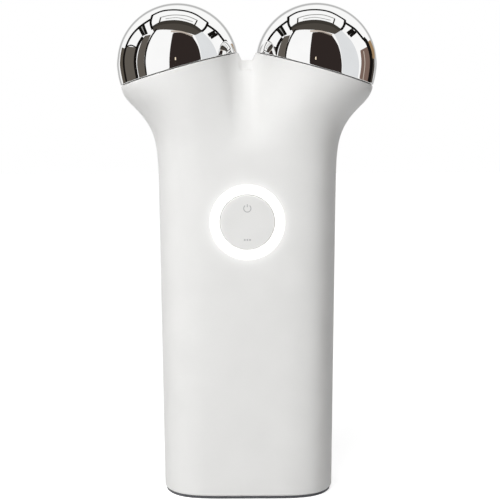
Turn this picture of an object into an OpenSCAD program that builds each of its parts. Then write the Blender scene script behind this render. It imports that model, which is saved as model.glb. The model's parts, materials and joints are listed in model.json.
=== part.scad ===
// Facial toning device: two chrome electrode spheres on a Y-shaped handle that stands on its base.
// The front, with the power button, faces -Y. +Z is up, and the origin is the centre of the base.
// All sizes are in millimetres. Left and right are as seen from the front.

/* [Spheres] */
// Diameter of each electrode sphere
sphere_d = 29.6; // [27:0.2:31]
// Distance between the two sphere centres
sphere_pitch = 33.4; // [32.6:0.2:36]
// Height of the tops of the spheres
overall_h = 118.2; // [114:0.1:126]
// Outward tilt of each arm, in degrees
arm_tilt = 15.6; // [12:0.2:18]
// Height of a sphere's centre over its rim
sphere_lift = 1.5; // [1:0.1:2.4]
// Thickness of a sphere's metal
sphere_wall = 1; // [0.7:0.1:1.4]
// Groove between a sphere and its rim
sphere_gap = 0.2; // [0.15:0.05:0.5]
// How far a rim stands inside its sphere's outline
rim_inset = 0.1; // [0:0.05:0.5]

/* [Handle] */
// Width of the handle at the base
base_w = 40.8; // [39:0.2:44]
// Width of the handle at the waist
waist_w = 43; // [41:0.2:46]
// Height at which the waist width is measured
waist_h = 76; // [60:1:80]
// Front to back depth of the handle
handle_d = 28; // [27:0.2:30]
// Squareness of the handle's front and back, as an exponent of its section
section_n = 5; // [3.4:0.1:6]
// Squareness of the handle's sides, as an exponent of its section
side_n = 1.6; // [1.5:0.1:3]
// Flare of the sides below the rims, in degrees from upright
flare_angle = 52; // [42:1:56]
// Softness of the curve into the flare
flare_soft = 2.9; // [1.8:0.1:3.6]
// Height of the straight collar under each rim
collar_h = 1.9; // [1.4:0.1:3]
// Lean of the collar from upright, in degrees
collar_lean = 3.4; // [0:0.2:14]
// Softness of the corner between flare and collar
collar_soft = 2.5; // [0.3:0.1:2.8]
// Rounding of the bottom edge
edge_r = 0.5; // [0.4:0.1:1.2]
// Thickness of the shells' wall
wall = 2; // [1.6:0.1:2.4]

/* [Fork] */
// Distance from the tops of the spheres down to where the valley between the arms fades out
valley_drop = 41; // [34:1:52]
// Half width of the valley's rounded floor at its top
floor_half_w = 4.8; // [3.6:0.1:6]
// Depth of the notch between the rims, below their inner ends
notch_drop = 1.7; // [0.8:0.1:2.2]
// Half width of the notch's floor
notch_half_w = 1.2; // [1:0.1:1.6]

/* [Sockets] */
// Radius of the socket that each sphere seats in
socket_r = 11; // [10:0.1:11.3]
// Depth of the groove that traps a seat's flange
flange_grip = 0.7; // [0.5:0.1:0.9]
// Clearance between parts that slot together
fit_gap = 0.1; // [0.05:0.01:0.15]
// Length of a seat along its arm
seat_len = 6.2; // [5.6:0.1:6.8]
// Thickness of a seat's floor
seat_floor = 2; // [1.6:0.1:2.4]
// Thickness of the sealing ring
seal_t = 1.2; // [1:0.1:1.6]
// Radius of an electrode stud
stud_r = 1.5; // [1.2:0.1:1.8]
// Thickness of an electrode nut
nut_t = 2.4; // [2:0.1:2.8]

/* [Button and light ring] */
// Distance from the tops of the spheres down to the button's centre
button_drop = 52.4; // [50:0.2:58]
// Outer diameter of the light ring
ring_d = 17.6; // [16:0.2:18.4]
// Width of the light ring's face
ring_face = 2.2; // [1.8:0.1:2.6]
// Travel of the power button
button_travel = 0.3; // [0.2:0.05:0.4]
// Depth of the ring and button faces below the shell
face_recess = 0.05; // [0:0.05:0.2]
// Number of lamps under the light ring
led_count = 8; // [6:1:10]

/* [Inside] */
// Width of the circuit board
board_w = 24; // [23:0.2:24.6]
// Thickness of the circuit board
board_t = 1.6; // [1.2:0.1:1.6]
// Thickness of the inner frame's plate
frame_t = 1.6; // [1.4:0.1:2]
// Width of the battery cell
cell_w = 24; // [20:0.5:24]
// Length of the battery cell
cell_len = 40; // [36:0.5:41]
// Thickness of the battery cell
cell_t = 6; // [5:0.1:6.5]
// Radius of the electrode leads
lead_r = 0.6; // [0.4:0.05:0.7]

/* [Base] */
// Thickness of the foot pad
pad_t = 0.6; // [0.3:0.1:1]
// Thickness of the base cap
cap_t = 2.4; // [2:0.1:3]
// Radius of the shanks of the small screws
screw_r = 0.9; // [0.8:0.05:1]

/* [Hidden] */
$fn = 64;

// How far a cut runs past the face that it opens, and how far a boss or rib runs into its own piece
CUT = 1;
WELD = 0.1;

// ---- arms and rims, worked out in the plane of the arms (x, z) ----
button_z = overall_h - button_drop;
valley_h = overall_h - valley_drop;
sphere_r = sphere_d / 2;
arm_dir = [sin(arm_tilt), cos(arm_tilt)];
rim_dir = [cos(arm_tilt), -sin(arm_tilt)];
roof_slope = tan(arm_tilt);
sphere_c = [sphere_pitch / 2, overall_h - sphere_r];
rim_c = sphere_c - sphere_lift * arm_dir;
rim_r = sqrt(pow(sphere_r, 2) - pow(sphere_lift, 2)) - rim_inset;
rim_out = rim_c + rim_r * rim_dir;
rim_in = rim_c - rim_r * rim_dir;
rim_half = rim_r * rim_dir.x;

// ---- side outline: a tapered line, a soft flare and a short collar under the rim ----
half_d = handle_d / 2;
taper = (waist_w - base_w) / 2 / waist_h;
flare_k = tan(flare_angle);
function collar_line(z) = rim_out.x - tan(collar_lean) * (rim_out.y - z);
collar_z = rim_out.y - collar_h;
function side_line(z) = base_w / 2 + taper * z;
flare_z = collar_z - (collar_line(collar_z) - side_line(collar_z)) / flare_k;
function clamp01(v) = max(0, min(1, v));
function smooth_step(v) = let (t = clamp01(v)) t * t * (3 - 2 * t);
function smooth_min(a, b, k) =
    let (h = clamp01(0.5 + 0.5 * (b - a) / k)) b + (a - b) * h - k * h * (1 - h);
function flare(z) = flare_k * flare_soft * ln(1 + exp((z - flare_z) / flare_soft));
function half_w(z) = z < flare_z
    ? side_line(z) + flare(z)
    : smooth_min(side_line(z) + flare(z), collar_line(z), collar_soft);
function roof_z(x, soft = 0) = rim_out.y + (rim_out.x - sqrt(x * x + soft * soft)) * roof_slope;
notch_z = rim_in.y - notch_drop;
function notch(x) = (roof_z(x) - notch_z)
    * smooth_step((rim_in.x - abs(x)) / max(0.2, rim_in.x - notch_half_w));

// ---- section outline: a superellipse that turns into two rim circles joined by a rounded valley ----
SIDE_STEPS = 9;
FLANK_STEPS = 8;
FLOOR_STEPS = 6;
QUARTER = SIDE_STEPS + FLANK_STEPS + FLOOR_STEPS;
centre_share = rim_c.x / rim_out.x;
column_end = acos(pow(centre_share, section_n / 2));
function super_y(share) = half_d * pow(max(0, 1 - pow(share, section_n)), 1 / side_n);
function side_x(z, y) = half_w(z) * pow(1 - pow(y / half_d, side_n), 1 / section_n);
function column_pt(a, t) = [a * pow(cos(t), 2 / section_n), half_d * pow(sin(t), 2 / side_n)];
function fork_blend(z) = smooth_step((z - valley_h) / (rim_out.y - valley_h));
// The flank follows the rim's circle, and then the valley's floor, a parabola that it runs into
function rim_pt(phi) = [rim_c.x + rim_half * cos(phi), rim_r * sin(phi)];
flank_end = 180 - acos((rim_c.x - floor_half_w) / rim_half);
floor_edge = rim_pt(flank_end);
floor_slope = -rim_r / rim_half / tan(flank_end);
function floor_y(x) =
    floor_edge.y - floor_slope * (floor_half_w - x * x / floor_half_w) / 2;
function flank_x(j) = j <= SIDE_STEPS + FLANK_STEPS
    ? rim_pt(90 + (flank_end - 90) * (j - SIDE_STEPS) / FLANK_STEPS).x
    : floor_half_w * (QUARTER - j) / FLOOR_STEPS;
function flank_y(j) = j <= SIDE_STEPS + FLANK_STEPS
    ? rim_pt(90 + (flank_end - 90) * (j - SIDE_STEPS) / FLANK_STEPS).y
    : floor_y(flank_x(j));
function quarter_pt(z, j) =
    let (a = half_w(z), w = fork_blend(z), phi = 90 * j / SIDE_STEPS)
    j <= SIDE_STEPS
        ? (1 - w) * column_pt(a, column_end * j / SIDE_STEPS)
            + w * [(rim_c.x + rim_half * cos(phi)) * a / rim_out.x, rim_r * sin(phi)]
        : let (x = flank_x(j) * a / rim_out.x)
            [x, (1 - w) * super_y(x / a) + w * flank_y(j)];
function quarter(z) = [for (j = [0:QUARTER]) quarter_pt(z, j)];
function inset_pt(q, j, t) =
    let (
        before = j > 0 ? q[j - 1] : [q[1].x, -q[1].y],
        after = j < QUARTER ? q[j + 1] : [-q[QUARTER - 1].x, q[QUARTER - 1].y],
        along = after - before
    )
    q[j] + t * [-along.y, along.x] / norm(along);
// The quarter outline pushed inwards by t, and the half outline from +X round +Y to -X
function inset_quarter(z, t) = let (q = quarter(z)) [for (j = [0:QUARTER]) inset_pt(q, j, t)];
function half_outline(z, t) =
    let (q = inset_quarter(z, t))
    concat(q, [for (j = [QUARTER - 1:-1:0]) [-q[j].x, q[j].y]]);
function full_outline(z, t) =
    let (h = half_outline(z, t)) concat(h, [for (j = [2 * QUARTER - 1:-1:1]) [h[j].x, -h[j].y]]);

// ---- rows of the shells: each is a section whose height follows the roof over the arms ----
FILLET_STEPS = 3;
COLUMN_STEPS = 3;
HEAD_STEPS = 18;
ROWS = FILLET_STEPS + COLUMN_STEPS + HEAD_STEPS;
PER_ROW = 2 * QUARTER + 1;
ROOF_SOFT = 3;
shell_low = pad_t;
socket_floor_gap = 0.3;
socket_depth = seat_len + socket_floor_gap;
// The shells are solid under the rims down to this height at their sides
ceiling_rise = 1.2;
ceiling_side = rim_out.y - socket_depth * arm_dir.y + ceiling_rise;
function row_side_z(k, top) =
    k <= FILLET_STEPS ? shell_low + edge_r * (1 - cos(90 * k / FILLET_STEPS))
    : k <= FILLET_STEPS + COLUMN_STEPS
        ? shell_low + edge_r + (valley_h - shell_low - edge_r) * (k - FILLET_STEPS) / COLUMN_STEPS
        : valley_h + (top - valley_h) * (k - FILLET_STEPS - COLUMN_STEPS) / HEAD_STEPS;
function row_inset(k) = k < FILLET_STEPS ? edge_r * (1 - sin(90 * k / FILLET_STEPS)) : 0;
function row_pts(side_z, inset, flat = false) =
    let (
        share = (side_z - shell_low) / (roof_z(half_w(side_z)) - shell_low),
        w = fork_blend(side_z),
        soft = ROOF_SOFT * (1 - w)
    )
    [for (p = half_outline(side_z, inset))
        [p.x, flat ? 0 : p.y,
         shell_low + share * (roof_z(p.x, soft) - shell_low)
             - notch(p.x) * smooth_step((w - 0.9) / 0.1)]];
// Triangles between two rows of point numbers
function ladder(a, b) = [for (i = [0:len(a) - 2]) each
    [[a[i], a[i + 1], b[i + 1]], [a[i], b[i + 1], b[i]]]];
function real_faces(faces) = [for (f = faces) if (f[0] != f[1] && f[1] != f[2] && f[0] != f[2]) f];

// Half of the hollow housing, on the +Y side, with its parting face on the plane y = 0
module half_shell() {
    outer = [for (k = [0:ROWS]) each row_pts(row_side_z(k, rim_out.y), row_inset(k))];
    inner = [for (k = [0:ROWS]) each row_pts(row_side_z(k, ceiling_side), wall)];
    roof = row_pts(rim_out.y, 0, true);
    ceiling = row_pts(ceiling_side, wall, true);
    count = (ROWS + 1) * PER_ROW;
    last = PER_ROW - 1;
    outer_row = function (k) [for (i = [0:last]) k * PER_ROW + i];
    inner_row = function (k) [for (i = [0:last]) count + k * PER_ROW + i];
    roof_row = [for (i = [0:last])
        i == 0 || i == last ? ROWS * PER_ROW + i : 2 * count + i];
    ceiling_row = [for (i = [0:last])
        i == 0 || i == last ? count + ROWS * PER_ROW + i : 2 * count + PER_ROW + i];
    outer_edge = function (i) [for (k = [0:ROWS]) k * PER_ROW + i];
    inner_edge = function (i) [for (k = [0:ROWS]) count + k * PER_ROW + i];
    faces = concat(
        [for (k = [0:ROWS - 1]) each ladder(outer_row(k + 1), outer_row(k))],
        [for (k = [0:ROWS - 1]) each ladder(inner_row(k), inner_row(k + 1))],
        ladder(roof_row, outer_row(ROWS)),
        ladder(inner_row(ROWS), ceiling_row),
        ladder(outer_row(0), inner_row(0)),
        ladder(inner_edge(0), outer_edge(0)),
        ladder(outer_edge(last), inner_edge(last)),
        ladder(ceiling_row, roof_row)
    );
    polyhedron(points = concat(outer, inner, roof, ceiling), faces = real_faces(faces));
}

// ---- frame of an arm: origin at the rim's centre, +Z outwards along the arm ----
module on_arm(side) {
    translate([side * rim_c.x, 0, rim_c.y]) rotate([0, side * arm_tilt, 0]) children();
}
module tube(r_out, r_in, h) {
    difference() {
        cylinder(r = r_out, h = h);
        translate([0, 0, -CUT]) cylinder(r = r_in, h = h + 2 * CUT);
    }
}

// ---- sockets ----
groove_h = 2;
groove_top = -2;
flange_r = socket_r - fit_gap + flange_grip;
module socket_cut(side) {
    on_arm(side) {
        translate([0, 0, -socket_depth]) cylinder(r = socket_r, h = socket_depth + 2 * CUT);
        translate([0, 0, groove_top - groove_h]) cylinder(r = socket_r + flange_grip, h = groove_h);
    }
}

// ---- button, ring and switch, along the button's axis: +Z of this frame points out of the front ----
ring_r = ring_d / 2;
button_r = ring_r - ring_face;
face_h = half_d - face_recess;
ring_step_more = 0.35;
ring_step_t = wall + ring_step_more;
ring_step_h = face_h - ring_step_t;
ring_flange = 1.4;
ring_flange_t = 1;
ring_seat_h = super_y((ring_r + ring_flange) / half_w(button_z)) - wall - 2 * fit_gap;
button_gap = 0.2;
button_sink = 0.1;
button_flange_t = 0.8;
button_flange_gap = 0.3;
button_stem = 0.5;
touch_gap = 0.02;
skirt_t = 1;
board_back_y = -1.6;
board_front_h = -board_back_y + board_t;
led_t = 0.8;
led_w = 1.6;
led_len = 2.8;
led_gap = 0.4;
switch_w = 6;
switch_t = 3.5;
plunger_r = 1.75;
plunger_well = 1.4;
plunger_clear = 0.1;
flange_top_h = ring_step_h - fit_gap;
plunger_top_h = flange_top_h - button_flange_t - button_stem;
well_floor_h = board_front_h + switch_t - plunger_well;
plunger_low_h = well_floor_h + button_travel + plunger_clear;
module on_button() {
    translate([0, 0, button_z]) rotate([90, 0, 0]) children();
}

// ---- inside layout ----
screw_gap = 0.05;
screw_free = 0.2;
screw_end_gap = 1;
screw_head_t = 1.2;
head_sink = 0.1;
pilot_depth = 7;
boss_r = 2.5;
boss_clear = 0.5;
boss_x = side_line(0) - wall - boss_r - boss_clear;
frame_lip = 1.9;
frame_w = 2 * (boss_x + frame_lip);
cap_top = shell_low + cap_t;
frame_low = cap_top + fit_gap;
foot_h = 7;
foot_gap = 0.4;
pin_room = 15.4;
frame_high = button_z + pin_room;
boss_drop = 4;
boss_zs = [frame_low + foot_h + boss_r + foot_gap, frame_high - boss_drop];
boss_skin = 0.5;
function boss_len(z) = super_y((boss_x + boss_r) / half_w(z)) - boss_skin;
board_gap = 0.4;
board_low = cap_top + board_gap;
board_rise = 4;
board_high = frame_high + board_rise;
board_screw_edge = 2.3;
board_screw_x = board_w / 2 - board_screw_edge;
board_screw_low = 8;
board_screw_drop = 3;
board_screw_zs = [board_low + board_screw_low, board_high - board_screw_drop];
standoff_wall = 1.1;
standoff_r = screw_r + standoff_wall;
bar_edge = 0.8;
bar_lip = standoff_r + bar_edge;
tray_wall = 1.2;
tray_d = 4.5;
tray_gap = 0.3;
tray_low = boss_zs[0] + 2 * screw_r + tray_gap;
cell_low = tray_low + tray_wall + tray_gap;
cell_high = cell_low + cell_len;
cell_pad_t = 0.5;
cell_front_y = frame_t + cell_pad_t;
pad_edge = 2.5;
window_half = 5;
notch_half = 4.5;
lead_window_rise = 8;
lead_window_half = 4;
lead_window_z = cell_high + lead_window_rise;
window_low = lead_window_z - lead_window_half;
window_high = max(button_z + window_half, lead_window_z + lead_window_half);

// USB-C receptacle: the standard's outer shell and tongue
usb_w = 8.94;
usb_t = 3.16;
usb_len = 7.35;
usb_skin = 0.3;
usb_y = board_back_y + usb_t / 2;
usb_low = shell_low + 0.3;
usb_gap = 0.3;
usb_pad_gap = 0.8;
tongue_side_gap = 0.8;
contact_edge = 0.1;
tongue_half = usb_w / 2 - usb_skin - tongue_side_gap;
contact_half = tongue_half - contact_edge;
contact_t = 0.7;
contact_recess = 0.6;
usb_back_t = 0.8;
block_t = 2;
block_h = 1.3;
block_drop = 2.4;
block_low = usb_len - block_drop;
base_screw_in = 1;
base_screw_x = boss_x - base_screw_in;

module slot(w, t, h) {
    linear_extrude(h) {
        square([w - t, t], center = true);
        for (s = [-1, 1]) translate([s * (w - t) / 2, 0]) circle(d = t);
    }
}

// ---- housing ----
// Snap tongues on the front shell reach past the parting plane into the rear shell's pockets
tongue_w = 6;
tongue_t = 1.2;
tongue_gap = 0.3;
tongue_reach = 4;
tongue_rises = [32, 60];
tongue_zs = [for (rise = tongue_rises) frame_low + rise];
root_len = 4;
root_sink = 1;
root_gap = 0.2;
catch_y = 2.4;
catch_t = 1;
catch_bite = 0.3;
catch_root = 0.2;
pocket_d = 0.6;
pocket_gap = 0.3;
module both_sides() {
    children();
    mirror([1, 0, 0]) children();
}
// Outer face of a tongue, clear of the wall at its tip
function tongue_x(z) = side_x(z, tongue_reach) - wall - tongue_gap;
module tongues() {
    both_sides() for (z = tongue_zs) {
        catch_x = side_x(z, catch_y) - wall;
        translate([tongue_x(z) - tongue_t, 0, z - tongue_w / 2]) {
            translate([0, -root_len, 0])
                cube([tongue_t + tongue_gap + root_sink, root_len - root_gap, tongue_w]);
            translate([0, -root_gap - WELD, 0])
                cube([tongue_t, tongue_reach + root_gap + WELD, tongue_w]);
        }
        translate([tongue_x(z) - catch_root, catch_y, z - tongue_w / 2])
            cube([catch_root + catch_x + catch_bite - tongue_x(z), catch_t, tongue_w]);
    }
}
module catch_pockets() {
    both_sides() for (z = tongue_zs)
        translate([side_x(z, catch_y) - wall - CUT, catch_y - pocket_gap, z - tongue_w / 2 - pocket_gap])
            cube([CUT + pocket_d, catch_t + 2 * pocket_gap, tongue_w + 2 * pocket_gap]);
}
module tongue_slots() {
    both_sides() for (z = tongue_zs)
        translate([tongue_x(z) - tongue_t - pocket_gap, -CUT, z - tongue_w / 2 - pocket_gap])
            cube([tongue_t + frame_w, frame_t + 2 * CUT, tongue_w + 2 * pocket_gap]);
}
module front_shell() {
    color("whitesmoke") difference() {
        union() {
            mirror([0, 1, 0]) half_shell();
            for (s = [-1, 1], z = boss_zs)
                translate([s * boss_x, 0, z]) rotate([90, 0, 0]) cylinder(r = boss_r, h = boss_len(z));
            tongues();
        }
        for (s = [-1, 1]) socket_cut(s);
        on_button() translate([0, 0, half_d - wall - CUT])
            cylinder(r = ring_r + fit_gap, h = wall + 3 * CUT);
        for (s = [-1, 1], z = boss_zs)
            translate([s * boss_x, CUT, z]) rotate([90, 0, 0])
                cylinder(r = screw_r + screw_gap, h = pilot_depth + CUT);
    }
}
module rear_shell() {
    color("whitesmoke") difference() {
        half_shell();
        for (s = [-1, 1]) socket_cut(s);
        catch_pockets();
    }
}
module base_cap() {
    color("gainsboro") difference() {
        translate([0, 0, shell_low]) linear_extrude(cap_t)
            polygon(full_outline(shell_low + edge_r, wall + fit_gap));
        translate([0, usb_y, shell_low - CUT])
            slot(usb_w + 2 * usb_gap, usb_t + 2 * usb_gap, cap_t + 2 * CUT);
        for (s = [-1, 1]) translate([s * base_screw_x, 0, shell_low - CUT]) {
            cylinder(r = screw_r + screw_free, h = cap_t + 2 * CUT);
            cylinder(r = 2 * screw_r + screw_free, h = CUT + screw_head_t + head_sink);
        }
    }
}
// The foot pad covers the base cap and laps over the lower edges of the shells
pad_lap = 1.6;
module foot_pad() {
    color("dimgray") difference() {
        linear_extrude(pad_t) polygon(full_outline(shell_low + edge_r, wall - pad_lap));
        translate([0, usb_y, -CUT])
            slot(usb_w + 2 * usb_pad_gap, usb_t + 2 * usb_pad_gap, pad_t + 2 * CUT);
    }
}

// ---- electrodes, in the frame of an arm ----
plug_r = sqrt(pow(sphere_r - sphere_wall, 2) - pow(sphere_lift - sphere_gap, 2)) - fit_gap / 2;
seat_wall = 2;
neck_r = socket_r - seat_wall;
neck_low = -seat_len + seat_floor;
seat_top = sphere_gap - seal_t;
washer_t = 0.5;
terminal_t = 0.5;
washer_lip = 0.5;
washer_r = 2 * stud_r + washer_lip;
terminal_len = 7;
terminal_low = -seat_len - washer_t - terminal_t;
nut_ratio = 2.1;
nut_r = nut_ratio * stud_r;
nut_low = terminal_low - nut_t;
stud_tip = 0.6;
stud_end = nut_low - stud_tip;
module sphere_shell(side) {
    color("silver") on_arm(side) difference() {
        translate([0, 0, sphere_lift]) sphere(r = sphere_r);
        translate([0, 0, sphere_lift]) sphere(r = sphere_r - sphere_wall);
        translate([0, 0, sphere_gap - 2 * sphere_r]) cylinder(r = sphere_r + CUT, h = 2 * sphere_r);
    }
}
module sphere_plug(side) {
    color("gray") on_arm(side) {
        translate([0, 0, sphere_gap]) cylinder(r = plug_r, h = sphere_wall);
        translate([0, 0, neck_low]) cylinder(r = neck_r, h = sphere_gap - neck_low + WELD);
        translate([0, 0, stud_end]) cylinder(r = stud_r, h = neck_low - stud_end + WELD);
    }
}
module seat(side) {
    color("dimgray") on_arm(side) difference() {
        union() {
            translate([0, 0, -seat_len]) cylinder(r = socket_r - fit_gap, h = seat_len + seat_top);
            translate([0, 0, groove_top - groove_h + fit_gap])
                cylinder(r = flange_r, h = groove_h - 2 * fit_gap);
        }
        translate([0, 0, neck_low]) cylinder(r = neck_r + fit_gap, h = seat_len + CUT);
        translate([0, 0, -seat_len - CUT]) cylinder(r = stud_r + fit_gap, h = seat_floor + 2 * CUT);
    }
}
module seal(side) {
    color("darkslategray") on_arm(side) translate([0, 0, seat_top])
        tube(socket_r - fit_gap, neck_r + fit_gap, sphere_gap - seat_top);
}
module washer(side) {
    color("silver") on_arm(side) translate([0, 0, -seat_len - washer_t])
        tube(washer_r, stud_r + fit_gap, washer_t);
}
module terminal(side) {
    color("goldenrod") on_arm(side) translate([0, 0, terminal_low])
        difference() {
            union() {
                cylinder(r = washer_r, h = terminal_t);
                translate([side > 0 ? -terminal_len : 0, -washer_r / 2, 0])
                    cube([terminal_len, washer_r, terminal_t]);
            }
            translate([0, 0, -CUT]) cylinder(r = stud_r + fit_gap, h = terminal_t + 2 * CUT);
        }
}
module nut(side) {
    color("silver") on_arm(side) translate([0, 0, nut_low]) difference() {
        cylinder(r = nut_r, h = nut_t, $fn = 6);
        translate([0, 0, -CUT]) cylinder(r = stud_r + screw_gap, h = nut_t + 2 * CUT);
    }
}

// ---- button group ----
module light_ring() {
    color("white") on_button() rotate_extrude() polygon([
        [button_r, face_h], [ring_r, face_h],
        [ring_r, ring_seat_h], [ring_r + ring_flange, ring_seat_h],
        [ring_r + ring_flange, ring_seat_h - ring_flange_t],
        [ring_r, ring_seat_h - ring_flange_t],
        [ring_r, board_front_h + led_t + led_gap], [ring_r - skirt_t, board_front_h + led_t + led_gap],
        [ring_r - skirt_t, ring_step_h], [button_r, ring_step_h]
    ]);
}
module power_button() {
    color("whitesmoke") on_button() {
        translate([0, 0, flange_top_h - WELD])
            cylinder(r = button_r - button_gap, h = face_h - button_sink - flange_top_h + WELD);
        translate([0, 0, flange_top_h - button_flange_t])
            cylinder(r = ring_r - skirt_t - button_flange_gap, h = button_flange_t);
        translate([0, 0, plunger_top_h + touch_gap])
            cylinder(r = plunger_r, h = button_stem + WELD - touch_gap);
    }
}
module switch_body() {
    color("black") on_button() difference() {
        translate([-switch_w / 2, -switch_w / 2, board_front_h]) cube([switch_w, switch_w, switch_t]);
        translate([0, 0, well_floor_h]) cylinder(r = plunger_r + button_gap, h = plunger_well + CUT);
    }
}
module switch_plunger() {
    color("ivory") on_button() translate([0, 0, plunger_low_h])
        cylinder(r = plunger_r, h = plunger_top_h - plunger_low_h);
}

// ---- electronics ----
module main_board() {
    color("darkgreen") difference() {
        translate([-board_w / 2, board_back_y - board_t, board_low])
            cube([board_w, board_t, board_high - board_low]);
        for (s = [-1, 1], z = board_screw_zs)
            translate([s * board_screw_x, 0, z]) rotate([90, 0, 0])
                cylinder(r = screw_r + screw_free, h = board_t + 4 * CUT);
    }
}
module ring_leds() {
    color("lightyellow") on_button() for (i = [0:led_count - 1]) rotate([0, 0, 360 * i / led_count])
        translate([ring_r - skirt_t / 2 - led_w / 2, -led_len / 2, board_front_h])
            cube([led_w, led_len, led_t]);
}
mcu_w = 7;
mcu_t = 1;
driver_w = 4;
driver_h = 3;
charger_w = 3;
charger_h = 5;
charger_t = 1.4;
parts_x = 6.5;
parts_drop = 39.2;
parts_z = button_z - parts_drop;
coil_z = parts_z + charger_h;
coil_r = 3;
coil_t = 3;
coil_lip = 0.8;
buzzer_z = parts_z + 2 * mcu_w;
buzzer_r = 5;
buzzer_t = 3;
buzzer_hole_r = 0.8;
buzzer_hole_d = 1;
coil_core = 1;
module chip(x, z, w, h, t) {
    on_board(x, z) translate([-w / 2, -h / 2, 0]) cube([w, h, t]);
}
module on_board(x, z) {
    translate([x, board_back_y - board_t, z]) rotate([90, 0, 0]) children();
}
module control_chips() {
    color("black") {
        chip(0, parts_z, mcu_w, mcu_w, mcu_t);
        chip(parts_x, parts_z - mcu_w, driver_w, driver_h, mcu_t);
        chip(-parts_x, parts_z - mcu_w, charger_w, charger_h, charger_t);
        chip(parts_x, parts_z + mcu_w, driver_h, driver_h, mcu_t);
    }
}
module boost_coil() {
    color("saddlebrown") on_board(-parts_x - 1, coil_z) {
        cylinder(r = coil_r, h = coil_lip);
        cylinder(r = coil_r - coil_core, h = coil_t);
        translate([0, 0, coil_t - coil_lip]) cylinder(r = coil_r, h = coil_lip);
    }
}
module buzzer() {
    color("black") on_board(0, buzzer_z) difference() {
        cylinder(r = buzzer_r, h = buzzer_t);
        translate([0, 0, buzzer_t - buzzer_hole_d]) cylinder(r = buzzer_hole_r, h = buzzer_hole_d + CUT);
    }
}
module battery_cell() {
    color("lightsteelblue") translate([-cell_w / 2, cell_front_y, cell_low])
        cube([cell_w, cell_t, cell_len]);
}
module battery_pad() {
    color("gray") translate([-cell_w / 2 + pad_edge, frame_t, cell_low + pad_edge])
        cube([cell_w - 2 * pad_edge, cell_pad_t, cell_len - 2 * pad_edge]);
}

// ---- inner frame ----
module inner_frame() {
    tray_in = cell_w / 2 + tray_gap;
    tray_out = tray_in + tray_wall;
    color("lightgray") difference() {
        union() {
            translate([-frame_w / 2, 0, frame_low]) cube([frame_w, frame_t, frame_high - frame_low]);
            // tray walls round the battery
            for (s = [-1, 1]) translate([s > 0 ? tray_in : -tray_out, frame_t - WELD, cell_low])
                cube([tray_wall, tray_d, cell_len]);
            for (z = [cell_low - tray_gap - tray_wall, cell_high + tray_gap])
                translate([-tray_out, frame_t - WELD, z]) cube([2 * tray_out, tray_d, tray_wall]);
            // standoffs for the board
            for (s = [-1, 1], z = board_screw_zs)
                translate([s * board_screw_x, WELD, z]) rotate([90, 0, 0])
                    cylinder(r = standoff_r, h = WELD - board_back_y);
            // feet for the base cap's screws
            for (s = [-1, 1]) translate([s * base_screw_x, 0, frame_low])
                cylinder(r = boss_r, h = foot_h);
            // top bar that carries the upper standoffs
            translate([-board_screw_x - bar_lip, 0, frame_high - WELD])
                cube([2 * (board_screw_x + bar_lip), frame_t, board_screw_zs[1] + bar_lip - frame_high]);
        }
        // clear of the receptacle, the switch's pins and the battery leads
        translate([-usb_w / 2 - 2 * usb_gap, -CUT, frame_low - CUT])
            cube([usb_w + 4 * usb_gap, frame_t + 4 * CUT, usb_len + 2 * CUT]);
        translate([-window_half, -CUT, window_low])
            cube([2 * window_half, frame_t + 2 * CUT, window_high - window_low]);
        translate([-notch_half, frame_t, cell_high])
            cube([2 * notch_half, tray_d, tray_gap + tray_wall + CUT]);
        tongue_slots();
        for (s = [-1, 1], z = boss_zs)
            translate([s * boss_x, frame_t + CUT, z]) rotate([90, 0, 0])
                cylinder(r = screw_r + screw_free, h = frame_t + 2 * CUT);
        for (s = [-1, 1], z = board_screw_zs)
            translate([s * board_screw_x, frame_t + CUT, z]) rotate([90, 0, 0])
                cylinder(r = screw_r + screw_gap, h = frame_t - board_back_y + 2 * CUT);
        for (s = [-1, 1]) translate([s * base_screw_x, 0, frame_low - CUT])
            cylinder(r = screw_r + screw_gap, h = foot_h + CUT - screw_end_gap / 2);
    }
}

// ---- USB-C receptacle ----
module usb_shell() {
    color("silver") translate([0, usb_y, usb_low]) difference() {
        slot(usb_w, usb_t, usb_len);
        translate([0, 0, -CUT])
            slot(usb_w - 2 * usb_skin, usb_t - 2 * usb_skin, usb_len + CUT - usb_back_t);
    }
}
module usb_tongue() {
    color("black") translate([0, usb_y, usb_low]) {
        translate([-contact_half, -contact_t / 2, contact_recess])
            cube([2 * contact_half, contact_t, block_low + WELD - contact_recess]);
        translate([-tongue_half, -block_t / 2, block_low]) cube([2 * tongue_half, block_t, block_h]);
    }
}

// ---- screws ----
module screw(len) {
    // the head lies on z = 0 and the shank runs down from it
    cylinder(r = 2 * screw_r, h = screw_head_t);
    translate([0, 0, -len]) cylinder(r = screw_r, h = len + WELD);
}
module frame_screws() {
    color("dimgray") for (s = [-1, 1], z = boss_zs)
        translate([s * boss_x, frame_t, z]) rotate([-90, 0, 0]) screw(frame_t + pilot_depth - screw_end_gap);
}
board_screw_gap = 0.3;
module board_screws() {
    color("dimgray") for (s = [-1, 1], z = board_screw_zs)
        translate([s * board_screw_x, board_back_y - board_t, z]) rotate([90, 0, 0])
            screw(board_t - board_back_y + frame_t - board_screw_gap);
}
module base_screws() {
    color("dimgray") for (s = [-1, 1])
        translate([s * base_screw_x, 0, shell_low + screw_head_t + head_sink])
            rotate([180, 0, 0]) screw(cap_t + foot_h - screw_head_t - screw_end_gap);
}

// ---- leads: a tube swept along a route ----
LEAD_SIDES = 8;
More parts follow.
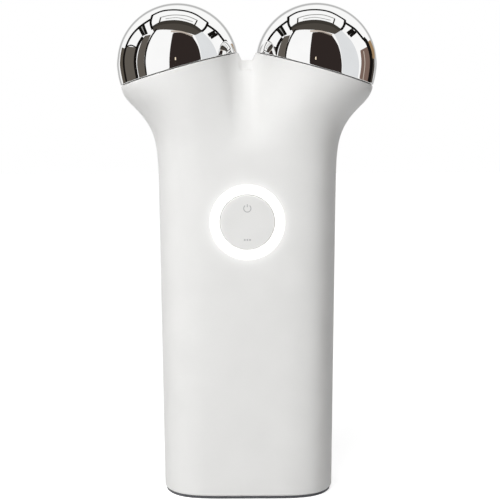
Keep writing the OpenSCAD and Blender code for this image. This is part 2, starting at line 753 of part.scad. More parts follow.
// Each ring lies across the route, and its first side points along +Y as far as it can
function ring_at(route, i, r) =
    let (
        ahead = route[min(i + 1, len(route) - 1)],
        behind = route[max(i - 1, 0)],
        d = (ahead - behind) / norm(ahead - behind),
        u = cross([1, 0, 0], d) / norm(cross([1, 0, 0], d)),
        v = cross(d, u)
    )
    [for (k = [0:LEAD_SIDES - 1])
        route[i] + r * (cos(360 * k / LEAD_SIDES) * u + sin(360 * k / LEAD_SIDES) * v)];
module lead(route, r) {
    rings = [for (i = [0:len(route) - 1]) each ring_at(route, i, r)];
    n = len(route);
    wrap = function (i, k) i * LEAD_SIDES + (k + LEAD_SIDES) % LEAD_SIDES;
    faces = concat(
        [[for (k = [0:LEAD_SIDES - 1]) k]],
        [for (i = [0:n - 2], k = [0:LEAD_SIDES - 1]) each [
            [wrap(i, k), wrap(i + 1, k + 1), wrap(i, k + 1)],
            [wrap(i, k), wrap(i + 1, k), wrap(i + 1, k + 1)]
        ]],
        [[for (k = [LEAD_SIDES - 1:-1:0]) wrap(n - 1, k)]]
    );
    polyhedron(points = rings, faces = faces);
}
// A soft S between two points that leaves and arrives along Z, dipping towards -Y or +Y by `bow`
LEAD_STEPS = 12;
function s_route(a, b, bow) = [for (i = [0:LEAD_STEPS])
    let (t = i / LEAD_STEPS, m = smooth_step(t))
    [a.x + (b.x - a.x) * m, a.y + (b.y - a.y) * m + bow * sin(180 * t), a.z + (b.z - a.z) * t]];
lead_bow = -1.6;
lead_joint = 1.2;
lead_drop = 0.25;
lead_pad = 4;
terminal_tip = rim_c + terminal_low * arm_dir - (terminal_len - lead_joint) * rim_dir;
lead_start = [terminal_tip.x, 0, terminal_tip.y - lead_drop];
lead_end = [board_screw_x - lead_pad, board_back_y - board_t - lead_r, board_high - lead_pad];
module electrode_lead(side) {
    color(side > 0 ? "firebrick" : "royalblue")
        mirror([side > 0 ? 0 : 1, 0, 0]) lead(s_route(lead_start, lead_end, lead_bow), lead_r);
}
battery_lead_x = 3;
battery_lead_gap = 0.15;
battery_lead_rise = 3;
module battery_lead(side) {
    start = [side * battery_lead_x, cell_front_y + cell_t / 2, cell_high + battery_lead_gap];
    end = [side * battery_lead_x, board_back_y + lead_r, lead_window_z + battery_lead_rise];
    color(side > 0 ? "red" : "black") lead(s_route(start, end, 0), lead_r);
}

front_shell();
rear_shell();
base_cap();
foot_pad();
sphere_shell(-1);  // left_sphere
sphere_shell(1);  // right_sphere
sphere_plug(-1);  // left_sphere_plug
sphere_plug(1);  // right_sphere_plug
seat(-1);  // left_seat
seat(1);  // right_seat
seal(-1);  // left_seal
seal(1);  // right_seal
washer(-1);  // left_washer
washer(1);  // right_washer
terminal(-1);  // left_terminal
terminal(1);  // right_terminal
nut(-1);  // left_nut
nut(1);  // right_nut
electrode_lead(-1);  // left_lead
electrode_lead(1);  // right_lead
light_ring();
power_button();
switch_body();
switch_plunger();
main_board();
ring_leds();
control_chips();
boost_coil();
buzzer();
battery_cell();
battery_pad();
battery_lead(1);  // battery_lead_plus
battery_lead(-1);  // battery_lead_minus
inner_frame();
usb_shell();
usb_tongue();
frame_screws();
board_screws();
base_screws();
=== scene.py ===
import json
import math
from functools import partial

import bmesh
import bpy
from mathutils import Matrix, Vector

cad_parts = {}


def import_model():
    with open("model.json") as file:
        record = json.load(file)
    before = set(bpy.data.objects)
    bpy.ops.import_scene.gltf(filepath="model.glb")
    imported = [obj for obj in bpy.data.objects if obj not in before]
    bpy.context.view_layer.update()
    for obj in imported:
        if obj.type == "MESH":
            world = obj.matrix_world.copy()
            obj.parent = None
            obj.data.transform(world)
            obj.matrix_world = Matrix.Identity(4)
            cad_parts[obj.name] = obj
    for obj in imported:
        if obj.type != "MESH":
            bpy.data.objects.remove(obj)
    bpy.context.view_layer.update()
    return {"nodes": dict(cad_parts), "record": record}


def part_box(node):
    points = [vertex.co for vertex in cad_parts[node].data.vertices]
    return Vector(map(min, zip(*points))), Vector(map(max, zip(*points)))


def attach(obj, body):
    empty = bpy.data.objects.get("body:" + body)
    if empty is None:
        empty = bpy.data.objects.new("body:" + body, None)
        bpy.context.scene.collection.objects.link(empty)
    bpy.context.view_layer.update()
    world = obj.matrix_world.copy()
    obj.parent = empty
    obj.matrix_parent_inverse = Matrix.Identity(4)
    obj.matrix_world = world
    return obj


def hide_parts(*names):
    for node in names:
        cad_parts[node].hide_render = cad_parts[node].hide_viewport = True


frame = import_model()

# A facial toning device: two chrome electrode spheres on a Y-shaped white handle.
# Sizes are in millimetres and angles in degrees, until a mesh is made in metres.
MM = 0.001

# ---- driving sizes, the same as in the construction ----
SPHERE_D = 29.6
SPHERE_PITCH = 33.4
OVERALL_H = 118.2
ARM_TILT = 15.6
SPHERE_LIFT = 1.5
SPHERE_WALL = 1.0
SPHERE_GAP = 0.2
RIM_INSET = 0.1
BASE_W = 40.8
WAIST_W = 43.0
WAIST_H = 76.0
HALF_D = 14.0
SECTION_N = 5.0
SIDE_N = 1.6
FLARE_ANGLE = 52.0
FLARE_SOFT = 2.9
COLLAR_H = 1.9
COLLAR_LEAN = 3.4
COLLAR_SOFT = 2.5
EDGE_R = 0.5
WALL = 2.0
VALLEY_H = OVERALL_H - 41.0
FLOOR_HALF_W = 4.8
NOTCH_DROP = 1.7
NOTCH_HALF_W = 1.2
SOCKET_R = 11.0
SOCKET_DEPTH = 6.5
GROOVE_LOW = -4.0
GROOVE_HIGH = -2.0
GROOVE_R = 11.7
FIT_GAP = 0.1
PAD_T = 0.6
SHELL_LOW = PAD_T
ROOF_SOFT = 3.0
CEILING_RISE = 1.2

# Fine edges that a moulding has: the rims' rounding, and the width and depth of the drawn-in seam
LIP_R = 0.15
SEAM_W = 0.14
SEAM_D = 0.13

# Button and light ring, along their own axis: heights are distances in front of the arms' plane
BUTTON_Z = (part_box("power_button")[0].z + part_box("power_button")[1].z) / 2 / MM
RING_R = 8.8
BUTTON_HOLE_R = 6.6
RING_SINK = 0.05
RING_STEP_MORE = 0.35
RING_FACE_H = HALF_D - RING_SINK
RING_STEP_H = RING_FACE_H - WALL - RING_STEP_MORE
BUTTON_GAP = 0.2
BUTTON_SINK = 0.1
BUTTON_R = BUTTON_HOLE_R - BUTTON_GAP
BUTTON_FACE_H = RING_FACE_H - BUTTON_SINK


# ---- curves of the handle ----
def tan(degrees):
    return math.tan(math.radians(degrees))


def cos(degrees):
    return math.cos(math.radians(degrees))


def sin(degrees):
    return math.sin(math.radians(degrees))


def clamp01(v):
    return max(0.0, min(1.0, v))


def smooth_step(v):
    t = clamp01(v)
    return t * t * (3 - 2 * t)


def smooth_min(a, b, k):
    h = clamp01(0.5 + 0.5 * (b - a) / k)
    return b + (a - b) * h - k * h * (1 - h)


SPHERE_R = SPHERE_D / 2
RIM_C = (SPHERE_PITCH / 2 - SPHERE_LIFT * sin(ARM_TILT),
         OVERALL_H - SPHERE_R - SPHERE_LIFT * cos(ARM_TILT))
RIM_R = math.sqrt(SPHERE_R ** 2 - SPHERE_LIFT ** 2) - RIM_INSET
RIM_HALF = RIM_R * cos(ARM_TILT)
RIM_OUT = (RIM_C[0] + RIM_HALF, RIM_C[1] - RIM_R * sin(ARM_TILT))
RIM_IN = (RIM_C[0] - RIM_HALF, RIM_C[1] + RIM_R * sin(ARM_TILT))
NOTCH_Z = RIM_IN[1] - NOTCH_DROP
TAPER = (WAIST_W - BASE_W) / 2 / WAIST_H
FLARE_K = tan(FLARE_ANGLE)
COLLAR_Z = RIM_OUT[1] - COLLAR_H


def side_line(z):
    return BASE_W / 2 + TAPER * z


def collar_line(z):
    return RIM_OUT[0] - tan(COLLAR_LEAN) * (RIM_OUT[1] - z)


FLARE_Z = COLLAR_Z - (collar_line(COLLAR_Z) - side_line(COLLAR_Z)) / FLARE_K


def half_w(z):
    """Half width of the handle at a height."""
    rise = FLARE_SOFT * math.log(1 + math.exp((z - FLARE_Z) / FLARE_SOFT))
    flared = side_line(z) + FLARE_K * rise
    return flared if z < FLARE_Z else smooth_min(flared, collar_line(z), COLLAR_SOFT)


def roof_z(x, soft=0.0):
    """Height of the planes that the rims lie in."""
    return RIM_OUT[1] + (RIM_OUT[0] - math.hypot(x, soft)) * tan(ARM_TILT)


def notch(x):
    """How far the top of the web lies below the rims' planes."""
    run = RIM_IN[0] - NOTCH_HALF_W
    return (roof_z(x) - NOTCH_Z) * smooth_step((RIM_IN[0] - abs(x)) / run)


def fork_blend(z):
    """0 where the section is one superellipse, 1 where it is two rims and a web."""
    return smooth_step((z - VALLEY_H) / (RIM_OUT[1] - VALLEY_H))


def super_y(share):
    """Half depth of the section at a share of its half width."""
    return HALF_D * max(0.0, 1 - share ** SECTION_N) ** (1 / SIDE_N)


def side_x(z, y):
    """Half width of the section at a distance from the arms' plane."""
    return half_w(z) * (1 - (y / HALF_D) ** SIDE_N) ** (1 / SECTION_N)


# Steps round a quarter of the section: along the side, the flank of the arm and the valley's floor
SIDE_STEPS = 26
FLANK_STEPS = 22
FLOOR_STEPS = 24
QUARTER = SIDE_STEPS + FLANK_STEPS + FLOOR_STEPS
# Where the superellipse's side gives way to the flank
COLUMN_END = math.degrees(math.acos((RIM_C[0] / RIM_OUT[0]) ** (SECTION_N / 2)))


def rim_pt(phi):
    """A point of the rim, seen from above, at an angle round it."""
    return (RIM_C[0] + RIM_HALF * cos(phi), RIM_R * sin(phi))


# The rim's angle and slope where the valley's floor begins
FLANK_END = 180 - math.degrees(math.acos((RIM_C[0] - FLOOR_HALF_W) / RIM_HALF))
FLOOR_SLOPE = -RIM_R / RIM_HALF / tan(FLANK_END)


def floor_y(x):
    """Half depth of the valley's floor at its top: a parabola that runs into the rim's circle."""
    return rim_pt(FLANK_END)[1] - FLOOR_SLOPE * (FLOOR_HALF_W - x * x / FLOOR_HALF_W) / 2


def quarter_pt(z, j):
    """Point j of a quarter of the section at a height, from the side to the valley's middle."""
    a = half_w(z)
    w = fork_blend(z)
    if j <= SIDE_STEPS:
        t = COLUMN_END * j / SIDE_STEPS
        phi = 90 * j / SIDE_STEPS
        column = (a * cos(t) ** (2 / SECTION_N), HALF_D * sin(t) ** (2 / SIDE_N))
        rim = rim_pt(phi)
        return ((1 - w) * column[0] + w * rim[0] * a / RIM_OUT[0], (1 - w) * column[1] + w * rim[1])
    if j <= SIDE_STEPS + FLANK_STEPS:
        x, y = rim_pt(90 + (FLANK_END - 90) * (j - SIDE_STEPS) / FLANK_STEPS)
    else:
        x = FLOOR_HALF_W * (QUARTER - j) / FLOOR_STEPS
        y = floor_y(x)
    x *= a / RIM_OUT[0]
    return (x, (1 - w) * super_y(x / a) + w * y)


def half_outline(z, inset):
    """The section at a height, pushed inwards: from +X round +Y to -X."""
    q = [quarter_pt(z, j) for j in range(QUARTER + 1)]
    ring = [(q[1][0], -q[1][1])] + q + [(-q[QUARTER - 1][0], q[QUARTER - 1][1])]
    moved = []
    for before, here, after in zip(ring, ring[1:], ring[2:]):
        along = Vector((after[0] - before[0], after[1] - before[1])).normalized()
        moved.append((here[0] - inset * along.y, here[1] + inset * along.x))
    return moved + [(-x, y) for x, y in reversed(moved[:-1])]


def with_seam(points, depth):
    """Adds a point beside each end on the parting plane, and draws the end in by depth."""
    def ends(first, second):
        share = SEAM_W / second[1]
        beside = (first[0] + (second[0] - first[0]) * share, SEAM_W)
        return (first[0] - math.copysign(depth, first[0]), 0.0), beside
    start = ends(points[0], points[1])
    stop = ends(points[-1], points[-2])
    return [*start, *points[1:-1], stop[1], stop[0]]


# The fork blend above which the notch is cut
NOTCH_START = 0.9


def row(side_z, inset, depth, flat=False):
    """Points of a section whose height follows the rims' planes over the arms and the notch."""
    share = (side_z - SHELL_LOW) / (roof_z(half_w(side_z)) - SHELL_LOW)
    w = fork_blend(side_z)
    soft = ROOF_SOFT * (1 - w)
    drop = smooth_step((w - NOTCH_START) / (1 - NOTCH_START))
    return [Vector((x, 0.0 if flat else y,
                    SHELL_LOW + share * (roof_z(x, soft) - SHELL_LOW) - notch(x) * drop))
            for x, y in with_seam(half_outline(side_z, inset), depth)]


# ---- mesh helpers ----
# Edges that turn by more than this stay sharp
SHARP = math.radians(32)
# Points closer than this many metres are one, and radii below this many millimetres lie on the axis
WELD = 1e-7
ON_AXIS = 1e-9


def new_object(name, points, faces, matrix=None):
    """A mesh object made from millimetre points."""
    mesh = bpy.data.meshes.new(name)
    place = matrix or Matrix.Identity(4)
    mesh.from_pydata([(place @ Vector(p)) * MM for p in points], [], faces)
    obj = bpy.data.objects.new(name, mesh)
    bpy.context.scene.collection.objects.link(obj)
    return obj


def clean(obj):
    """Welds doubles, turns normals outwards, smooths faces and keeps the real edges sharp."""
    bm = bmesh.new()
    bm.from_mesh(obj.data)
    bmesh.ops.remove_doubles(bm, verts=bm.verts, dist=WELD)
    bmesh.ops.dissolve_degenerate(bm, edges=bm.edges, dist=WELD)
    bmesh.ops.recalc_face_normals(bm, faces=bm.faces)
    for face in bm.faces:
        face.smooth = True
    for edge in bm.edges:
        edge.smooth = edge.is_manifold and edge.calc_face_angle(0.0) < SHARP
    bm.to_mesh(obj.data)
    bm.free()
    return obj


def boolean(obj, tool, operation):
    """obj becomes its union with, or its difference from, tool, which is used up."""
    modifier = obj.modifiers.new("cut", "BOOLEAN")
    modifier.operation = operation
    modifier.solver = "MANIFOLD"
    modifier.object = tool
    graph = bpy.context.evaluated_depsgraph_get()
    result = bpy.data.meshes.new_from_object(obj.evaluated_get(graph))
    obj.modifiers.clear()
    obj.data = result
    bpy.data.objects.remove(tool)
    return obj


def whole_face(*corners):
    """The face in a list, or an empty list where it has no width."""
    face = list(dict.fromkeys(corners))
    return [face] if len(face) > 2 else []


def lathe(profile, segments, matrix=None, shape=None):
    """Points and faces of a profile of (radius, height) turned about +Z, closed where it meets the axis."""
    points = []
    rings = []
    for r, h in profile:
        if r < ON_AXIS:
            rings.append([len(points)] * segments)
            points.append(Vector((0, 0, h)))
            continue
        rings.append(range(len(points), len(points) + segments))
        points += [Vector((r * cos(360 * i / segments), r * sin(360 * i / segments), h))
                   for i in range(segments)]
    if shape:
        points = [shape(p) for p in points]
    faces = []
    closed = profile[0][0] > ON_AXIS
    for a, b in zip(rings, rings[1:] + rings[:1] if closed else rings[1:]):
        for i in range(segments):
            k = (i + 1) % segments
            faces += whole_face(a[i], a[k], b[k], b[i])
    place = matrix or Matrix.Identity(4)
    return [place @ p for p in points], faces


def block(low, high):
    """Points and faces of a box."""
    points = [Vector((x, y, z)) for z in (low[2], high[2]) for y in (low[1], high[1])
              for x in (low[0], high[0])]
    faces = [(0, 2, 3, 1), (4, 5, 7, 6), (0, 1, 5, 4), (2, 6, 7, 3), (0, 4, 6, 2), (1, 3, 7, 5)]
    return points, faces


def joined(name, parts):
    """One object from several lists of points and faces."""
    points = []
    faces = []
    for more_points, more_faces in parts:
        start = len(points)
        points += more_points
        faces += [[start + i for i in face] for face in more_faces]
    return clean(new_object(name, points, faces))


def rounded(corners, steps=5):
    """A profile from (radius, height, rounding) corners, each rounding an arc of that radius."""
    profile = []
    for i, (r, h, fillet) in enumerate(corners):
        here = Vector((r, h))
        if not fillet:
            profile.append((r, h))
            continue
        back = (Vector(corners[i - 1][:2]) - here).normalized()
        ahead = (Vector(corners[(i + 1) % len(corners)][:2]) - here).normalized()
        half = back.angle(ahead) / 2
        centre = here + (back + ahead).normalized() * fillet / math.sin(half)
        first = here + back * fillet / math.tan(half) - centre
        last = here + ahead * fillet / math.tan(half) - centre
        for k in range(steps + 1):
            profile.append(tuple(centre + fillet * first.slerp(last, k / steps)))
    return profile


def dress(obj, material, body, slot, *nodes):
    """Gives a piece its finish and its body, and hides the CAD nodes that it stands for; slot is not used.
    """
    obj.data.materials.clear()
    obj.data.materials.append(material)
    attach(obj, body)
    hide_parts(*nodes)
    return obj


# ---- node helpers for the finishes ----
RECORD_COLOURS = {m["slot"]: m["base_color"] for m in frame["record"]["materials"]}


class Finish:
    """A Principled material whose textures use the object's own coordinates."""

    def __init__(self, name, colour, roughness, metallic=0.0, **sockets):
        self.material = bpy.data.materials.new(name)
        self.material.use_nodes = True
        self.tree = self.material.node_tree
        self.shader = self.tree.nodes["Principled BSDF"]
        self.colour = tuple(colour)
        self.put("Base Color", (*colour, 1))
        self.put("Roughness", roughness)
        self.put("Metallic", metallic)
        for socket, value in sockets.items():
            self.put(socket.replace("_", " "), value)
        self.coordinates = self.node("ShaderNodeTexCoord", {}).outputs["Object"]

    def feed(self, socket, value):
        """Links a node's output to a socket, or sets the socket to a number or a colour."""
        if isinstance(value, bpy.types.NodeSocket):
            self.tree.links.new(value, socket)
        else:
            socket.default_value = value

    def put(self, socket, value):
        """Feeds one of the shader's own sockets."""
        self.feed(self.shader.inputs[socket], value)

    def node(self, kind, inputs, **settings):
        """A new node with its settings and with what feeds its inputs."""
        made = self.tree.nodes.new(kind)
        for key, value in settings.items():
            setattr(made, key, value)
        for socket, value in inputs.items():
            self.feed(made.inputs[socket], value)
        return made

    def before(self, socket, otherwise):
        """What feeds one of the shader's sockets so far."""
        links = self.shader.inputs[socket].links
        return links[0].from_socket if links else otherwise

    def noise(self, size, detail=2.0, stretch=(1, 1, 1)):
        """Cloudy noise, 0 to 1, whose grains are about size millimetres across."""
        mapping = self.node("ShaderNodeMapping", {"Vector": self.coordinates, "Scale": stretch})
        inputs = {"Vector": mapping.outputs["Vector"], "Scale": 1 / (size * MM), "Detail": detail}
        return self.node("ShaderNodeTexNoise", inputs).outputs["Fac"]

    def cells(self, size):
        """Cells, 0 at their centres, about size millimetres across."""
        inputs = {"Vector": self.coordinates, "Scale": 1 / (size * MM)}
        return self.node("ShaderNodeTexVoronoi", inputs).outputs["Distance"]

    def ramp(self, value, low, high):
        """value, taken from low..high to 0..1."""
        inputs = {"Value": value, "From Min": low, "From Max": high}
        return self.node("ShaderNodeMapRange", inputs).outputs["Result"]

    def math(self, operation, *values):
        """A Math node on outputs or numbers."""
        return self.node("ShaderNodeMath", dict(enumerate(values)), operation=operation).outputs["Value"]

    def tint(self, mask, colour):
        """The colour turns into another one where mask is 1."""
        inputs = {"Factor": mask, "A": self.before("Base Color", (*self.colour, 1)), "B": (*colour, 1)}
        self.put("Base Color", self.node("ShaderNodeMix", inputs, data_type="RGBA").outputs["Result"])

    def shade(self, mask, amount):
        """The colour darkens by amount, a share, where mask is 1."""
        self.tint(mask, [c * (1 - amount) for c in self.colour])

    def rough(self, mask, low, high):
        """Roughness runs from low to high as mask runs from 0 to 1."""
        inputs = {"Value": mask, "To Min": low, "To Max": high}
        self.put("Roughness", self.node("ShaderNodeMapRange", inputs).outputs["Result"])

    def bump(self, height, depth, strength=1.0):
        """Relief of depth millimetres, on top of the relief so far."""
        inputs = {"Height": height, "Distance": depth * MM, "Strength": strength}
        relief = self.before("Normal", None)
        if relief:
            inputs["Normal"] = relief
        self.put("Normal", self.node("ShaderNodeBump", inputs).outputs["Normal"])

    def glow(self, strength):
        """The surface gives off light of a strength worked out by nodes."""
        self.put("Emission Strength", strength)
        self.put("Emission Color", GLOW)

    def from_ring(self):
        """Distance in millimetres from the button's axis, and the height in front of the arms' plane."""
        split = self.node("ShaderNodeSeparateXYZ", {"Vector": self.coordinates})
        x = self.math("DIVIDE", split.outputs["X"], MM)
        z = self.math("SUBTRACT", self.math("DIVIDE", split.outputs["Z"], MM), BUTTON_Z)
        squares = self.math("ADD", self.math("MULTIPLY", x, x), self.math("MULTIPLY", z, z))
        radius = self.math("SQRT", squares)
        return radius, self.math("DIVIDE", split.outputs["Y"], -MM)


# ---- finishes ----
SATIN_WHITE = (0.80, 0.797, 0.785)
GLOW = (1.0, 0.995, 0.985, 1)


def painted_ring_glow(made, reach, height, fade, depths, strength):
    """A glow painted in as emission, standing for light that seeps in from the ring: it fades over a reach
    and shows between two depths.
    """
    near = made.math("EXPONENT", made.math("MULTIPLY", made.math("MAXIMUM", reach, 0.0), -1 / fade))
    front = made.ramp(height, *depths)
    made.glow(made.math("MULTIPLY", made.math("MULTIPLY", near, front), strength))


def satin_plastic(name, colour, roughness=0.42, grain=0.14, depth=0.004):
    """Moulded plastic with a fine spark-eroded grain and faint flow clouds."""
    made = Finish(name, colour, roughness)
    fine = made.noise(grain, 3)
    cloud = made.noise(9, 1)
    made.shade(made.ramp(cloud, 0.35, 0.7), 0.03)
    made.shade(made.ramp(fine, 0.55, 0.8), 0.05)
    made.rough(fine, roughness - 0.07, roughness + 0.07)
    made.bump(fine, depth)
    return made


def shell_plastic():
    """White satin plastic with a glow painted in as emission for a few millimetres round the light ring."""
    made = satin_plastic("shell_plastic", SATIN_WHITE)
    radius, height = made.from_ring()
    painted_ring_glow(made, made.math("SUBTRACT", radius, RING_R), height,
                fade=1.1, depths=(0.0, 6.0), strength=0.17)
    return made.material


def button_plastic():
    """The shell's plastic, with a faint glow painted in as emission at its edge beside the light ring."""
    made = satin_plastic("button_plastic", SATIN_WHITE, roughness=0.38)
    radius, height = made.from_ring()
    painted_ring_glow(made, made.math("SUBTRACT", BUTTON_R, radius), height,
                fade=0.5, depths=(11.0, 13.0), strength=0.03)
    return made.material


def light_guide():
    """A milky light guide, lit from behind, a little brighter along the middle of its face."""
    made = Finish("ring_light", (0.93, 0.93, 0.92), 0.3)
    radius, height = made.from_ring()
    middle = (RING_R + BUTTON_HOLE_R) / 2
    off = made.math("ABSOLUTE", made.math("SUBTRACT", radius, middle))
    ridge = made.math("SUBTRACT", 1.25, made.math("MULTIPLY", off, 0.35))
    speckle = made.ramp(made.noise(0.5, 2), 0.2, 0.8)
    face = made.ramp(height, RING_FACE_H - 1.5, RING_FACE_H - 0.1)
    lit = made.math("MULTIPLY", ridge, made.math("ADD", 0.95, made.math("MULTIPLY", speckle, 0.05)))
    made.glow(made.math("MULTIPLY", lit, made.math("ADD", 0.3, made.math("MULTIPLY", face, 0.7))))
    made.shade(speckle, 0.03)
    return made.material


def chrome():
    """Mirror-polished plating with faint polishing marks."""
    made = Finish("sphere_chrome", (0.95, 0.95, 0.945), 0.03, metallic=1.0)
    haze = made.noise(3.5, 4)
    marks = made.noise(0.35, 2, stretch=(1, 1, 9))
    worn = made.math("MULTIPLY", made.ramp(haze, 0.45, 0.8), made.ramp(marks, 0.4, 0.9))
    made.rough(worn, 0.018, 0.06)
    made.shade(made.ramp(haze, 0.3, 0.75), 0.03)
    made.bump(haze, 0.0006)
    return made.material


def metal(name, colour, roughness, stretch=(1, 1, 12)):
    """Turned or stamped metal with fine drawn lines."""
    made = Finish(name, colour, roughness, metallic=1.0)
    lines = made.noise(0.72, 4, stretch=stretch)
    made.rough(lines, roughness - 0.08, roughness + 0.12)
    made.shade(made.ramp(lines, 0.4, 0.8), 0.15)
    made.bump(lines, 0.002)
    return made


def rubber(name, colour):
    """Soft rubber with a pebbled skin and a little dust."""
    made = Finish(name, colour, 0.75, Sheen_Weight=0.1, Sheen_Roughness=0.5)
    pebbles = made.cells(0.35)
    made.bump(pebbles, 0.02)
    made.shade(made.ramp(pebbles, 0.5, 0.9), 0.35)
    made.tint(made.math("MULTIPLY", made.ramp(made.noise(1.5, 4), 0.55, 0.8), 0.3),
              [c * 0.75 + 0.12 for c in colour])
    return made


def insulation(name, colour):
    """Extruded lead insulation, glossy, with faint draw lines along it."""
    made = Finish(name, colour, 0.32)
    lines = made.noise(0.5, 3, stretch=(6, 6, 1))
    made.rough(lines, 0.25, 0.45)
    made.shade(made.ramp(lines, 0.4, 0.8), 0.2)
    made.bump(lines, 0.004)
    return made


def circuit_board(name, colour):
    """Green solder mask over copper tracks, with gold pads in a grid."""
    made = Finish(name, colour, 0.3, Coat_Weight=0.4, Coat_Roughness=0.15)
    turned = made.node("ShaderNodeMapping",
                       {"Vector": made.coordinates, "Rotation": (math.radians(90), 0, 0)})
    bricks = {"Vector": turned.outputs["Vector"], "Scale": 1 / (9 * MM), "Mortar Size": 0.03,
              "Color1": (0, 0, 0, 1), "Color2": (0, 0, 0, 1), "Mortar": (1, 1, 1, 1)}
    tracks = made.node("ShaderNodeTexBrick", bricks, offset=0.5)
    made.tint(tracks.outputs["Color"], [min(1, c * 1.7 + 0.02) for c in colour])
    dots = made.cells(3.1)
    made.tint(made.math("LESS_THAN", dots, 0.11), (0.75, 0.55, 0.22))
    made.bump(tracks.outputs["Fac"], -0.03)
    made.bump(made.noise(0.6, 2), 0.004)
    return made


def moulded_black(name, colour):
    """Moulded black epoxy or nylon with a dull, slightly worn skin."""
    made = Finish(name, colour, 0.55)
    fine = made.noise(0.2, 3)
    made.rough(fine, 0.45, 0.7)
    made.tint(made.math("MULTIPLY", made.ramp(made.noise(2.0, 3), 0.5, 0.85), 0.25),
              [c + 0.08 for c in colour])
    made.bump(fine, 0.006)
    return made


def lamp_lens(name, colour):
    """Small lamps: white bodies with a yellow phosphor dome showing through the potting."""
    made = Finish(name, (0.86, 0.86, 0.84), 0.25, Coat_Weight=0.5)
    made.tint(made.math("LESS_THAN", made.cells(1.6), 0.42), colour)
    made.bump(made.noise(0.3, 2), 0.004)
    return made


def foil_pouch(name, colour):
    """Aluminium pouch foil with crinkles and rolled grain."""
    made = Finish(name, colour, 0.32, metallic=1.0)
    crinkle = made.noise(6, 5)
    made.bump(crinkle, 0.25, 0.6)
    made.rough(made.noise(0.8, 3, stretch=(1, 1, 8)), 0.24, 0.45)
    made.shade(made.ramp(crinkle, 0.4, 0.7), 0.12)
    return made


def foam(name, colour):
    """Foam tape with open cells."""
    made = Finish(name, colour, 0.9)
    pores = made.cells(0.25)
    made.bump(pores, 0.08)
    made.shade(made.ramp(pores, 0.2, 0.7), 0.5)
    return made


def ferrite(name, colour):
    """Sintered ferrite core with fine copper turns showing round it."""
    made = Finish(name, colour, 0.6)
    turns = made.node("ShaderNodeTexWave", {"Vector": made.coordinates, "Scale": 1 / (1.2 * MM)},
                      wave_type="BANDS", bands_direction="Y")
    made.tint(made.math("MULTIPLY", turns.outputs["Fac"], 0.5), (0.55, 0.22, 0.09))
    made.bump(turns.outputs["Fac"], 0.04)
    return made


# The finish of each material slot that CAD nodes keep
NODE_FINISHES = {
    "cap_plastic": partial(satin_plastic, grain=0.3, depth=0.01),
    "foot_rubber": rubber,
    "plug_steel": partial(metal, roughness=0.3),
    "seat_plastic": moulded_black,
    "seal_rubber": rubber,
    "fastener_steel": partial(metal, roughness=0.28),
    "terminal_brass": partial(metal, roughness=0.3, stretch=(10, 1, 1)),
    "lead_blue": insulation,
    "lead_red": insulation,
    "lead_black": insulation,
    "switch_black": moulded_black,
    "plunger_plastic": partial(satin_plastic, roughness=0.35),
    "board_green": circuit_board,
    "led_lens": lamp_lens,
    "chip_black": moulded_black,
    "coil_ferrite": ferrite,
    "buzzer_black": moulded_black,
    "cell_foil": foil_pouch,
    "pad_foam": foam,
    "frame_plastic": partial(satin_plastic, grain=0.4, depth=0.015),
    "screw_steel": partial(metal, roughness=0.35),
}


def finish_cad_nodes():
    """Gives every CAD node that still shows its slot's procedural finish."""
    slots = {part["node"]: part["material_slot"] for part in frame["record"]["subparts"]}
    made = {}
    for name, obj in frame["nodes"].items():
        if obj.hide_render:
            continue
        slot = slots[name]
        if slot not in made:
            made[slot] = NODE_FINISHES[slot](slot, RECORD_COLOURS[slot]).material
        obj.data.materials.clear()
        obj.data.materials.append(made[slot])


# ---- housing ----
FILLET_STEPS = 5
COLUMN_STEPS = 12
HEAD_STEPS = 64
LIP_STEPS = 5
TOP = RIM_OUT[1]
CEILING = TOP - SOCKET_DEPTH * cos(ARM_TILT) + CEILING_RISE


def row_heights(top, lip):
    """(height at the side, inset) of each row, from the bottom rounding to the lip."""
    rows = []
    for k in range(FILLET_STEPS):
        angle = 90 * k / FILLET_STEPS
        rows.append((SHELL_LOW + EDGE_R * (1 - cos(angle)), EDGE_R * (1 - sin(angle))))
    low = SHELL_LOW + EDGE_R
    rows += [(low + (VALLEY_H - low) * k / COLUMN_STEPS, 0.0) for k in range(COLUMN_STEPS)]
    rows += [(VALLEY_H + (top - lip - VALLEY_H) * k / HEAD_STEPS, 0.0) for k in range(HEAD_STEPS)]
    for k in range(LIP_STEPS + 1):
        angle = 90 * k / LIP_STEPS
        rows.append((top - lip * (1 - sin(angle)), lip * (1 - cos(angle))))
    return rows


def ladder(a, b):
    """Faces between two rows of point numbers, without the ones that have no width."""
    return [face for a0, a1, b0, b1 in zip(a, a[1:], b, b[1:]) for face in whole_face(a0, a1, b1, b0)]


